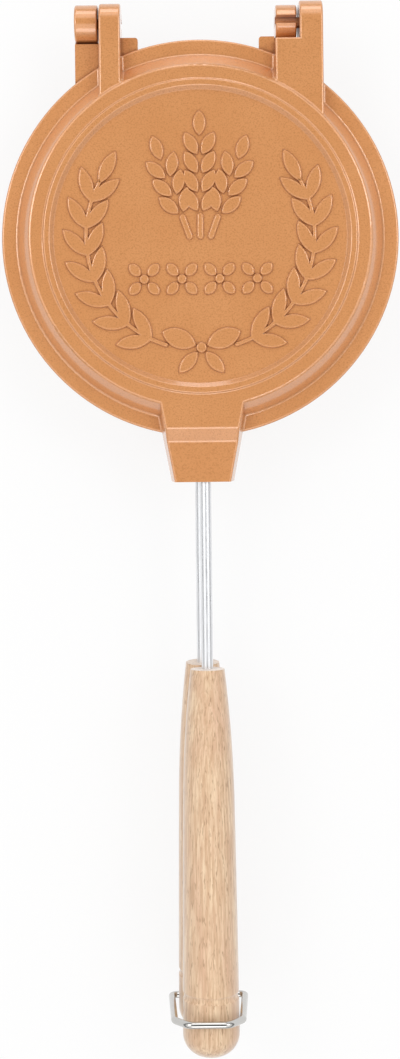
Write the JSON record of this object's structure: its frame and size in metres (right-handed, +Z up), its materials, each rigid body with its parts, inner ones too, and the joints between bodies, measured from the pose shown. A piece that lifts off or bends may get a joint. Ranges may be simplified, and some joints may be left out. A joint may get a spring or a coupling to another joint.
{
  "type": "sandwich iron",
  "caption": "Hinged round sandwich iron with coin-shaped cast plates, straight steel rods, turned wooden grips and a wire latch.",
  "frame": {"origin": "under the middle of the closed iron's outline, level with the lowest point of the lower grip", "axes": "+Z up through the closed plates, +Y from the grips towards the hinge, +X across"},
  "size_m": [0.1406, 0.3688, 0.0479],
  "materials": {
    "copper_coating": "cast aluminium with a satin copper-coloured coating",
    "pin_steel": "plain ground steel",
    "rod_chrome": "bright plated steel rod",
    "beech": "turned pale beech, lightly sanded",
    "wire_chrome": "bright plated steel wire"
  },
  "bodies": {
    "lower": {"lower_plate": "copper_coating", "lower_hinge_pin": "copper_coating", "lower_cross_pin": "pin_steel", "lower_rod": "rod_chrome", "lower_grip": "beech"},
    "upper": {"upper_plate": "copper_coating", "upper_hinge_pin": "copper_coating", "upper_cross_pin": "pin_steel", "upper_rod": "rod_chrome", "upper_grip": "beech"},
    "latch": {"latch_wire": "wire_chrome"}
  },
  "joints": [
    {"name": "plate_hinge", "type": "hinge", "parent": "lower", "child": "upper", "pos_m": [0, 0.17762, 0.02255], "axis": [-1, 0, 0], "range_deg": [0, 180]},
    {"name": "latch_swing", "type": "hinge", "parent": "lower", "child": "latch", "pos_m": [0, -0.17283, 0.01006], "axis": [1, 0, 0], "range_deg": [-11.6, 253.6]}
  ]
}
